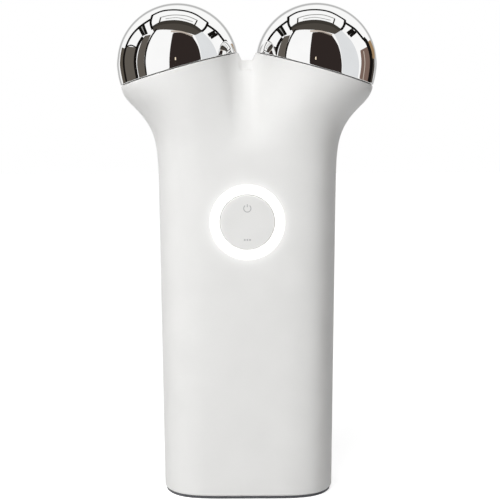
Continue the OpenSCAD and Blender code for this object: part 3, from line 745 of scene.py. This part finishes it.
def half_shell(name, side):
    """Half of the hollow housing, on the side of +Y or -Y, with rounded rims and a drawn-in seam."""
    outer = [row(z, inset, SEAM_D) for z, inset in row_heights(TOP, LIP_R)]
    inner = [row(z, WALL, 0.0) for z, _ in row_heights(CEILING, LIP_R)]
    roof = row(TOP, LIP_R, SEAM_D, flat=True)
    ceiling = row(CEILING, WALL, 0.0, flat=True)
    per_row = len(roof)
    points = [p for r in (*outer, *inner, roof, ceiling) for p in r]
    numbers = [[k * per_row + i for i in range(per_row)] for k in range(2 * len(outer) + 2)]
    outer_rows = numbers[:len(outer)]
    inner_rows = numbers[len(outer):-2]

    def flat_row(inside, beside):
        """A row on the parting plane that shares its two end points with the row beside it."""
        return [beside[0]] * 2 + inside[2:-2] + [beside[-1]] * 2

    roof_row = flat_row(numbers[-2], outer_rows[-1])
    ceiling_row = flat_row(numbers[-1], inner_rows[-1])
    faces = ladder(outer_rows[0], inner_rows[0])
    for below, above in zip(outer_rows, [*outer_rows[1:], roof_row]):
        faces += ladder(above, below)
    for below, above in zip(inner_rows, [*inner_rows[1:], ceiling_row]):
        faces += ladder(below, above)
    faces += ladder(ceiling_row, roof_row)
    faces += ladder([r[0] for r in inner_rows], [r[0] for r in outer_rows])
    faces += ladder([r[-1] for r in outer_rows], [r[-1] for r in inner_rows])
    return clean(new_object(name, points, faces, Matrix.Scale(side, 4, (0, 1, 0))))


def on_arm(side):
    """Frame of an arm: origin at the rim's centre, +Z outwards along the arm."""
    return (Matrix.Translation((side * RIM_C[0], 0, RIM_C[1]))
            @ Matrix.Rotation(math.radians(side * ARM_TILT), 4, "Y"))


def along_y(x, z):
    """Frame with +Z towards the front, at a place in the arms' plane."""
    return Matrix.Translation((x, 0, z)) @ Matrix.Rotation(math.radians(90), 4, "X")


def on_button():
    """Frame of the button and the light ring."""
    return along_y(0, BUTTON_Z)


SOCKET_TOP = 2.0
SOCKET_PROFILE = [(0, -SOCKET_DEPTH), (SOCKET_R, -SOCKET_DEPTH), (SOCKET_R, GROOVE_LOW),
                  (GROOVE_R, GROOVE_LOW), (GROOVE_R, GROOVE_HIGH), (SOCKET_R, GROOVE_HIGH),
                  (SOCKET_R, SOCKET_TOP), (0, SOCKET_TOP)]


def rod(radius, low, high):
    """Profile of a plain cylinder."""
    return [(0, low), (radius, low), (radius, high), (0, high)]


def sockets():
    """Cutters for the holes that hold the spheres."""
    return [lathe(SOCKET_PROFILE, 96, on_arm(side)) for side in (-1, 1)]


# Bosses, snap tongues and pockets inside the shells
BOSS_R = 2.5
BOSS_CLEAR = 0.5
BOSS_X = BASE_W / 2 - WALL - BOSS_R - BOSS_CLEAR
BOSS_SKIN = 0.5
FRAME_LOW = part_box("inner_frame")[0].z / MM
SCREW_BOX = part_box("frame_screws")
SCREW_HEAD_R = 1.8
BOSS_ZS = (SCREW_BOX[0].z / MM + SCREW_HEAD_R, SCREW_BOX[1].z / MM - SCREW_HEAD_R)
PILOT_R = 0.95
PILOT_DEPTH = 7.0
TONGUE_ZS = (FRAME_LOW + 32, FRAME_LOW + 60)
TONGUE_HALF = 3.0
TONGUE_T = 1.2
TONGUE_GAP = 0.3
TONGUE_ROOT = -0.3
TONGUE_REACH = 4.0
FOOT_Y = (-4.0, -0.2)
CATCH_Y = (2.4, 3.4)
CATCH_BITE = 0.3
POCKET_D = 0.6
POCKET_GAP = 0.3
# How far a part that is joined or cut runs past the face that it meets
LAP = 1.0
FINE_LAP = 0.2


def boss_places():
    """Places of the screw bosses in the arms' plane."""
    return [(side * BOSS_X, z) for side in (-1, 1) for z in BOSS_ZS]


def tongue_x(z):
    """Outer face of a tongue, clear of the wall at its tip."""
    return side_x(z, TONGUE_REACH) - WALL - TONGUE_GAP


def catch_x(z):
    """Inner face of the wall beside a catch."""
    return side_x(z, CATCH_Y[0]) - WALL


def at_tongues(x0, x1, ys, more=0.0):
    """Boxes on both sides at each tongue, between x0(z) and x1(z) and between two depths."""
    made = []
    half = TONGUE_HALF + more
    for side in (-1, 1):
        for z in TONGUE_ZS:
            xs = sorted((side * x0(z), side * x1(z)))
            made.append(block((xs[0], ys[0], z - half), (xs[1], ys[1], z + half)))
    return made


def boss(x, z):
    """A screw boss that ends inside the front wall."""
    length = super_y((BOSS_X + BOSS_R) / half_w(z)) - BOSS_SKIN
    return lathe(rod(BOSS_R, 0, length), 48, along_y(x, z))


def front_shell():
    """The front half: bosses, snap tongues with feet and catches, and the ring's bore."""
    obj = half_shell("front_shell_skin", -1)

    def inner_face(z):
        return tongue_x(z) - TONGUE_T

    adds = [
        [boss(x, z) for x, z in boss_places()],
        at_tongues(inner_face, lambda z: tongue_x(z) + TONGUE_GAP + LAP, FOOT_Y),
        at_tongues(inner_face, tongue_x, (TONGUE_ROOT, TONGUE_REACH)),
        at_tongues(lambda z: tongue_x(z) - FINE_LAP, lambda z: catch_x(z) + CATCH_BITE, CATCH_Y),
    ]
    for parts in adds:
        boolean(obj, joined("add", parts), "UNION")
    pilots = [lathe(rod(PILOT_R, -LAP, PILOT_DEPTH), 32, along_y(x, z)) for x, z in boss_places()]
    bore = lathe(rod(RING_R + FIT_GAP, HALF_D - WALL - LAP, HALF_D + 2 * LAP), 128, on_button())
    boolean(obj, joined("cut", [*sockets(), *pilots, bore]), "DIFFERENCE")
    return dress(clean(obj), shell_plastic(), "handle", "shell_plastic", "front_shell")


def rear_shell(material):
    """The rear half, with a pocket for each catch."""
    obj = half_shell("rear_shell_skin", 1)
    pockets = at_tongues(lambda z: catch_x(z) - LAP, lambda z: catch_x(z) + POCKET_D,
                         (CATCH_Y[0] - POCKET_GAP, CATCH_Y[1] + POCKET_GAP), POCKET_GAP)
    boolean(obj, joined("cut", [*sockets(), *pockets]), "DIFFERENCE")
    return dress(clean(obj), material, "handle", "shell_plastic", "rear_shell")


# ---- spheres ----
OUTER_STEPS = 110
INNER_STEPS = 24
ROLL_STEPS = 5
ROLL_R = 0.12


def sphere_arc(radius, low, steps):
    """Points of a sphere from its pole down to a height below its centre."""
    end = math.degrees(math.acos(low / radius))
    return [(radius * sin(end * k / steps), SPHERE_LIFT + radius * cos(end * k / steps))
            for k in range(steps + 1)]


def sphere_profile():
    """A hollow sphere, open below, with a rolled lip: from the outer pole down and back up inside."""
    low = SPHERE_GAP - SPHERE_LIFT
    outer = sphere_arc(SPHERE_R, low + ROLL_R, OUTER_STEPS)
    roll_x = outer[-1][0] - ROLL_R
    roll_h = SPHERE_GAP + ROLL_R
    angles = [90 * k / ROLL_STEPS for k in range(1, ROLL_STEPS + 1)]
    roll = [(roll_x + ROLL_R * cos(a), roll_h - ROLL_R * sin(a)) for a in angles]
    inner = sphere_arc(SPHERE_R - SPHERE_WALL, low, INNER_STEPS)
    return outer + roll + inner[::-1]


def spheres():
    """The two chrome domes."""
    material = chrome()
    for side, name in ((-1, "left_sphere"), (1, "right_sphere")):
        points, faces = lathe(sphere_profile(), 192, on_arm(side))
        dress(clean(new_object(name + "_chrome", points, faces)), material,
              "handle", "sphere_chrome", name)


# ---- light ring and button ----
CROWN_START = 1.2
CROWN_RUN = 0.8


def on_skin(p):
    """Lets the faces of the ring and the button follow the front's slight crown."""
    drop = HALF_D - super_y(abs(p.x) / half_w(BUTTON_Z + p.y))
    weight = smooth_step((p.z - (RING_FACE_H - CROWN_START)) / CROWN_RUN)
    return Vector((p.x, p.y, p.z - drop * weight))


def light_ring():
    """The light guide: a face round the button, a flange behind the wall and a skirt to the lamps."""
    flange_r = RING_R + 1.4
    flange_t = 1.0
    seat_h = super_y(flange_r / half_w(BUTTON_Z)) - WALL - 2 * FIT_GAP
    skirt_r = RING_R - 1.0
    foot_h = 4.4
    corners = [(BUTTON_HOLE_R, RING_STEP_H, 0), (BUTTON_HOLE_R, RING_FACE_H, 0.16),
               ((BUTTON_HOLE_R + RING_R) / 2, RING_FACE_H, 0), (RING_R, RING_FACE_H, 0.2),
               (RING_R, RING_FACE_H - CROWN_RUN, 0),
               (RING_R, seat_h, 0), (flange_r, seat_h, 0), (flange_r, seat_h - flange_t, 0),
               (RING_R, seat_h - flange_t, 0), (RING_R, foot_h, 0), (skirt_r, foot_h, 0),
               (skirt_r, RING_STEP_H, 0)]
    points, faces = lathe(rounded(corners), 144, on_button(), on_skin)
    return dress(clean(new_object("light_ring_guide", points, faces)), light_guide(),
                 "handle", "ring_light", "light_ring")


DISH = 0.12
DISH_EDGE = 0.5
FACE_STEPS = 24


def dish_h(r):
    """Height of the button's face at a distance from its axis."""
    return BUTTON_FACE_H - DISH * (1 - smooth_step(r / (BUTTON_R - DISH_EDGE)))


def power_button():
    """The button: a dished face, a flange that the ring holds and a stem over the switch."""
    flange_h = RING_STEP_H - FIT_GAP
    flange_r = RING_R - 1.3
    flange_t = 0.8
    stem_r = 1.75
    stem_len = 0.48
    stem_h = flange_h - flange_t - stem_len
    radii = [BUTTON_R * k / FACE_STEPS for k in range(FACE_STEPS - 1)]
    face = [(r, dish_h(r)) for r in radii]
    edge = rounded([(BUTTON_R - DISH_EDGE, BUTTON_FACE_H, 0), (BUTTON_R, BUTTON_FACE_H, 0.15),
                    (BUTTON_R, flange_h, 0)])[1:]
    under = [(flange_r, flange_h), (flange_r, flange_h - flange_t), (stem_r, flange_h - flange_t),
             (stem_r, stem_h), (0, stem_h)]
    points, faces = lathe(face + edge + under, 120, on_button(), on_skin)
    return dress(clean(new_object("power_button_cap", points, faces)), button_plastic(),
                 "button", "button_plastic", "power_button")


# Half the width of a mark's lines, and their height above the face
MARK_LINE = 0.11
MARK_RISE = 0.02


def mark_strip(points, closed=False):
    """A thin raised line along points (x, z) from the button's centre, lying on its dished face."""
    made = []
    path = [Vector(p) for p in points]
    n = len(path)
    for i, p in enumerate(path):
        after = path[(i + 1) % n] if closed else path[min(i + 1, n - 1)]
        before = path[i - 1] if closed else path[max(i - 1, 0)]
        along = (after - before).normalized()
        across = Vector((-along.y, along.x)) * MARK_LINE
        for q in (p + across, p - across):
            for rise in (MARK_RISE, -MARK_RISE):
                made.append(on_skin(Vector((q.x, q.y, dish_h(q.length) + rise))))
    faces = []
    for i in range(n if closed else n - 1):
        a = 4 * i
        b = 4 * ((i + 1) % n)
        faces += [(a, a + 2, b + 2, b), (a + 1, b + 1, b + 3, a + 3), (a, b, b + 1, a + 1),
                  (a + 2, a + 3, b + 3, b + 2)]
    if not closed:
        faces += [(0, 1, 3, 2), (4 * n - 4, 4 * n - 2, 4 * n - 1, 4 * n - 3)]
    return [on_button() @ p for p in made], faces


def power_mark():
    """The usual power sign near the button's top, and three level dots near its bottom."""
    sign_z = 3.25
    sign_r = 0.85
    sign_gap = 38
    dots_z = -4.15
    dot_pitch = 0.62
    dot_r = 0.13
    angles = [sign_gap + (360 - 2 * sign_gap) * k / 28 for k in range(29)]
    arc = [(sign_r * sin(a), sign_z + sign_r * cos(a)) for a in angles]
    bar = [(0, sign_z + sign_r * share) for share in (0.35, 0.75, 1.15)]
    dots = []
    for x in (-dot_pitch, 0, dot_pitch):
        circle = [(x + dot_r * cos(45 * k), dots_z + dot_r * sin(45 * k)) for k in range(8)]
        dots.append(mark_strip(circle, True))
    ink = Finish("mark_ink", (0.50, 0.50, 0.50), 0.5)
    ink.shade(ink.noise(0.2, 2), 0.15)
    obj = joined("power_mark", [mark_strip(arc), mark_strip(bar), *dots])
    obj.data.materials.append(ink.material)
    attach(obj, "button")
    return obj


# ---- CAD nodes ----
def soften_edges(node, width):
    """Small roundings on a CAD node's real edges."""
    bevel = frame["nodes"][node].modifiers.new("soft_edge", "BEVEL")
    bevel.width = width * MM
    bevel.segments = 2
    bevel.limit_method = "ANGLE"
    bevel.angle_limit = math.radians(40)


# ---- studio ----
def camera():
    """The photograph's view: from the front, slightly from above."""
    eye = Vector((0.6, -390.0, 84.5))
    aim = Vector((0.6, 0, 58.35))
    roll = -0.19
    data = bpy.data.cameras.new("camera")
    data.lens = 115.4
    data.sensor_width = 36
    data.clip_start = 0.01
    obj = bpy.data.objects.new("camera", data)
    obj.location = eye * MM
    turned = (aim - eye).to_track_quat("-Z", "Y").to_matrix()
    turned = turned @ Matrix.Rotation(math.radians(roll), 3, "Z")
    obj.rotation_euler = turned.to_euler()
    bpy.context.scene.collection.objects.link(obj)
    bpy.context.scene.camera = obj
    return eye


# The sky as the camera and the chrome see it, and as it lights the object
SEEN_WHITE = 1.0
SKY_LIGHT = 0.272


def seen_rays(tree):
    """1 for the rays that show the background: camera, glossy and transmission rays."""
    path = tree.nodes.new("ShaderNodeLightPath")
    seen = path.outputs["Is Camera Ray"]
    for ray in ("Is Glossy Ray", "Is Transmission Ray"):
        either = tree.nodes.new("ShaderNodeMath")
        either.operation = "MAXIMUM"
        tree.links.new(seen, either.inputs[0])
        tree.links.new(path.outputs[ray], either.inputs[1])
        seen = either.outputs["Value"]
    return seen


def world():
    """Plain soft light, and a white background."""
    made = bpy.data.worlds.new("studio")
    made.use_nodes = True
    tree = made.node_tree
    strength = tree.nodes.new("ShaderNodeMapRange")
    strength.inputs["To Min"].default_value = SKY_LIGHT
    strength.inputs["To Max"].default_value = SEEN_WHITE
    tree.links.new(seen_rays(tree), strength.inputs["Value"])
    background = tree.nodes["Background"]
    background.inputs["Color"].default_value = (1, 1, 1, 1)
    tree.links.new(strength.outputs["Result"], background.inputs["Strength"])
    bpy.context.scene.world = made


def floor():
    """A plain pale floor that reads white and keeps the object's shadow."""
    half = 4000.0
    drop = -0.02
    points = [(x, y, drop) for x, y in ((-half, -half), (half, -half), (half, half), (-half, half))]
    obj = new_object("floor", points, [(0, 1, 2, 3)])
    material = bpy.data.materials.new("floor")
    material.use_nodes = True
    tree = material.node_tree
    shader = tree.nodes["Principled BSDF"]
    shader.inputs["Base Color"].default_value = (0.7, 0.7, 0.7, 1)
    shader.inputs["Roughness"].default_value = 0.9
    shader.inputs["Specular IOR Level"].default_value = 0.0
    shader.inputs["Emission Color"].default_value = (1, 1, 1, 1)
    lift = tree.nodes.new("ShaderNodeMath")
    lift.operation = "MULTIPLY"
    lift.inputs[1].default_value = 0.7
    tree.links.new(seen_rays(tree), lift.inputs[0])
    tree.links.new(lift.outputs["Value"], shader.inputs["Emission Strength"])
    obj.data.materials.append(material)
    obj.visible_glossy = False


def hang(data, direction):
    """Puts a lamp in the scene that faces a direction and that the chrome does not show."""
    obj = bpy.data.objects.new(data.name, data)
    obj.rotation_euler = direction.to_track_quat("-Z", "Y").to_euler()
    obj.visible_glossy = False
    bpy.context.scene.collection.objects.link(obj)
    return obj


def area_light(name, place, aim, size, power):
    """A soft square lamp that faces a point."""
    data = bpy.data.lights.new(name, "AREA")
    data.shape = "SQUARE"
    data.size = size * MM
    data.energy = power
    obj = hang(data, Vector(aim) - Vector(place))
    obj.location = Vector(place) * MM


def sun_light(name, direction, spread, strength):
    """A soft, even lamp from far away."""
    data = bpy.data.lights.new(name, "SUN")
    data.angle = math.radians(spread)
    data.energy = strength
    hang(data, Vector(direction))


def lamps():
    """Soft daylight from the front and left, and a little from behind that rounds both edges."""
    sun_light("key", (0.27, 0.77, -0.5), 45, 1.1)
    sun_light("left_back", (0.9, -0.3, -0.15), 30, 1.2)
    sun_light("right_back", (-0.9, -0.3, -0.15), 30, 0.14)
    area_light("top_left", (-110, -310, 330), (0, 0, 100), 240, 0.8)


# The studio that the chrome reflects: dark flags and pale panels, far away and seen by glossy rays
# alone. Their corners are places on a mirror sphere as the camera sees it, right and up from its
# centre, in radii, and each place is sent out along the ray that is reflected there.
PANEL_FAR = 3000.0
PANEL_STEPS = 24
PANEL_ACROSS = 6
BLACK = (0.008, 0.007, 0.006)
BROWN_BLACK = (0.030, 0.022, 0.020)
DARK_CAP = (0.045, 0.040, 0.034)
CAP_SHADE = (0.072, 0.063, 0.054)
BROWN_GREY = (0.10, 0.086, 0.070)
WARM_GREY = (0.118, 0.105, 0.090)
GREY = (0.30, 0.30, 0.29)
BEIGE = (0.55, 0.48, 0.42)
PALE = (0.76, 0.775, 0.79)
BRICK = (0.20, 0.135, 0.11)
GOLD = (0.36, 0.24, 0.13)
RIM_PALE = (0.70, 0.70, 0.70)
RIM_GREY = (0.48, 0.48, 0.48)
WARM_WHITE = (1.0, 0.86, 0.66)


def smooth_curve(points):
    """A curve through points, sampled evenly between its ends."""
    made = []
    n = len(points) - 1
    for k in range(PANEL_STEPS + 1):
        t = n * k / PANEL_STEPS
        i = min(int(t), n - 1)
        f = t - i
        p0, p1, p2, p3 = (Vector(points[max(0, min(n, m))]) for m in (i - 1, i, i + 1, i + 2))
        made.append(0.5 * (2 * p1 + (p2 - p0) * f + (2 * p0 - 5 * p1 + 4 * p2 - p3) * f ** 2
                           + (3 * p1 - p0 - 3 * p2 + p3) * f ** 3))
    return made


class Studio:
    """Panels placed by where a mirror sphere shows them to the camera."""

    def __init__(self, eye):
        self.centre = Vector((0, 0, OVERALL_H - SPHERE_R))
        self.look = (self.centre - eye).normalized()
        self.right = self.look.cross(Vector((0, 0, 1))).normalized()
        self.up = self.right.cross(self.look)
        self.materials = {}
        self.count = 0

    def place(self, p, nearer):
        """Where the ray goes that a place on the mirror reflects."""
        s = math.sqrt(max(0.0, 1 - p.length_squared))
        ray = self.look * (1 - 2 * s * s) + 2 * s * (p.x * self.right + p.y * self.up)
        return self.centre + ray * (PANEL_FAR - nearer)

    def material(self, colour):
        """A plain glowing colour, made once."""
        if colour not in self.materials:
            made = bpy.data.materials.new("studio_panel")
            made.use_nodes = True
            tree = made.node_tree
            tree.nodes.remove(tree.nodes["Principled BSDF"])
            glow = tree.nodes.new("ShaderNodeEmission")
            glow.inputs["Color"].default_value = (*colour, 1)
            tree.links.new(glow.outputs["Emission"], tree.nodes["Material Output"].inputs["Surface"])
            self.materials[colour] = made
        return self.materials[colour]

    def panel(self, colour, one, other, nearer=0):
        """A panel between two curves that run the same way."""
        a = smooth_curve(one)
        b = smooth_curve(other)
        points = [self.place(p.lerp(q, j / PANEL_ACROSS), nearer) for p, q in zip(a, b)
                  for j in range(PANEL_ACROSS + 1)]
        wide = PANEL_ACROSS + 1
        faces = [(i * wide + j, i * wide + j + 1, (i + 1) * wide + j + 1, (i + 1) * wide + j)
                 for i in range(PANEL_STEPS) for j in range(PANEL_ACROSS)]
        self.count += 1
        obj = new_object(f"studio_panel_{self.count}", points, faces)
        obj.data.materials.append(self.material(colour))
        for ray in ("camera", "diffuse", "transmission", "volume_scatter", "shadow"):
            setattr(obj, "visible_" + ray, False)

    def strut(self, colour, width, points, nearer=60):
        """A thin panel along a curve."""
        curve = smooth_curve(points)
        sides = ([], [])
        for i, p in enumerate(curve):
            along = (curve[min(i + 1, PANEL_STEPS)] - curve[max(i - 1, 0)]).normalized()
            across = Vector((-along.y, along.x)) * width / 2
            sides[0].append(tuple(p + across))
            sides[1].append(tuple(p - across))
        self.panel(colour, sides[0], sides[1], nearer)

    def ring(self, colour, inner, outer):
        """A closed ring round the middle of the mirror."""
        for half in (0, 180):
            arcs = [[(r * cos(half + 18 * k), r * sin(half + 18 * k)) for k in range(11)]
                    for r in (inner, outer)]
            self.panel(colour, *arcs)


def studio(eye):
    """The room in the chrome. Places and widths are shares of the mirror's radius."""
    made = Studio(eye)
    # the dark middle, the pale panel on its right and the brown cap over them
    made.panel(BROWN_BLACK, [(-.07, .49), (-.103, .27), (-.118, .06), (-.11, -.16), (-.08, -.5)],
               [(.25, .445), (.345, .28), (.392, .06), (.392, -.16), (.34, -.5)])
    made.panel(PALE, [(.285, .465), (.36, .29), (.402, .06), (.402, -.16), (.35, -.5)],
               [(.40, .53), (.57, .34), (.665, .1), (.67, -.16), (.58, -.5)])
    made.panel(DARK_CAP, [(-.41, .60), (-.256, .682), (0, .707), (.244, .652), (.41, .54)],
               [(-.40, .57), (-.25, .63), (0, .65), (.235, .60), (.38, .51)])
    made.panel(CAP_SHADE, [(-.40, .57), (-.25, .63), (0, .65), (.235, .60), (.38, .51)],
               [(-.38, .52), (-.27, .55), (-.05, .545), (.13, .515), (.29, .47)])
    made.strut(BROWN_BLACK, .05, [(-.06, .482), (.06, .484), (.16, .465), (.24, .435)])
    made.strut(BEIGE, .028, [(-.1, .525), (.02, .525), (.13, .502), (.25, .455)])
    made.strut(WARM_WHITE, .018, [(-.02, .115), (-.02, .07)])
    # frames round the cap
    made.strut(BLACK, .024, [(-.43, .77), (-.256, .849), (0, .871), (.25, .822), (.485, .68)])
    made.strut(BLACK, .038, [(-.425, .775), (-.438, .66), (-.40, .55)])
    made.strut(BLACK, .038, [(.48, .685), (.45, .60), (.395, .535)])
    made.strut(GREY, .013, [(-.28, .745), (-.14, .78), (0, .79), (.15, .775), (.31, .715)])
    made.strut(DARK_CAP, .022, [(-.28, .745), (-.295, .66)])
    made.strut(DARK_CAP, .022, [(.31, .715), (.27, .62)])
    made.strut(GREY, .01, [(-.2, .725), (0, .745), (.24, .69)])
    # the left side: window frames and warm grey bands
    made.strut(BLACK, .024, [(-.33, .56), (-.41, .44), (-.475, .28), (-.507, .1), (-.5, -.08),
                             (-.45, -.4)])
    made.panel(WARM_GREY, [(-.42, .47), (-.487, .28), (-.52, .1), (-.512, -.08), (-.46, -.42)],
               [(-.52, .45), (-.59, .30), (-.635, .1), (-.63, -.08), (-.56, -.42)])
    made.strut(BLACK, .045, [(-.55, .43), (-.625, .30), (-.668, .12), (-.665, -.06), (-.6, -.42)])
    made.panel(WARM_GREY, [(-.65, .27), (-.69, .12), (-.685, -.06), (-.62, -.42)],
               [(-.81, .28), (-.85, .12), (-.85, -.06), (-.77, -.42)])
    made.strut(BLACK, .032, [(-.45, .705), (-.624, .578), (-.757, .425), (-.835, .24), (-.862, 0),
                             (-.8, -.4)])
    made.panel(BROWN_GREY, [(-.85, .25), (-.872, .1), (-.87, -.06), (-.8, -.42)],
               [(-.90, .26), (-.925, .1), (-.925, -.06), (-.86, -.42)])
    made.strut(BLACK, .02, [(-.64, .26), (-.74, .30), (-.83, .27)])
    made.strut(BLACK, .05, [(-.63, .595), (-.535, .455)])
    made.strut(BLACK, .044, [(-.565, .63), (-.49, .475)])
    made.strut(GREY, .03, [(-.597, .612), (-.512, .465)], nearer=30)
    # the right side: a flag, a dark frame and a brown wall
    made.strut(BLACK, .062, [(.50, .47), (.60, .535)])
    made.strut(BLACK, .045, [(.54, .43), (.64, .50)])
    made.strut(BLACK, .034, [(.48, .64), (.63, .535), (.76, .38)])
    made.strut(BLACK, .055, [(.76, .40), (.82, .32), (.874, .156), (.884, -.044), (.83, -.42)])
    made.panel(BRICK, [(.70, .21), (.715, 0), (.68, -.27), (.64, -.42)],
               [(.83, .27), (.865, 0), (.83, -.27), (.79, -.42)])
    made.strut(BEIGE, .012, [(.755, .2), (.775, 0), (.74, -.3)])
    made.strut(GOLD, .05, [(.86, .35), (.915, .2), (.922, .08)])
    made.strut(CAP_SHADE, .035, [(.924, .08), (.925, -.05), (.89, -.3)])
    # the far side of the room, a soft grey rim round the mirror
    made.ring(RIM_PALE, .948, .958)
    made.ring(RIM_GREY, .958, .978)
    made.ring(RIM_PALE, .978, .988)


# ---- the whole ----
front = front_shell()
rear_shell(front.data.materials[0])
spheres()
light_ring()
power_button()
power_mark()
soften_edges("foot_pad", 0.12)
soften_edges("base_cap", 0.1)
soften_edges("usb_shell", 0.05)
finish_cad_nodes()

eye = camera()
world()
floor()
lamps()
studio(eye)
bpy.context.scene.view_settings.view_transform = "Standard"
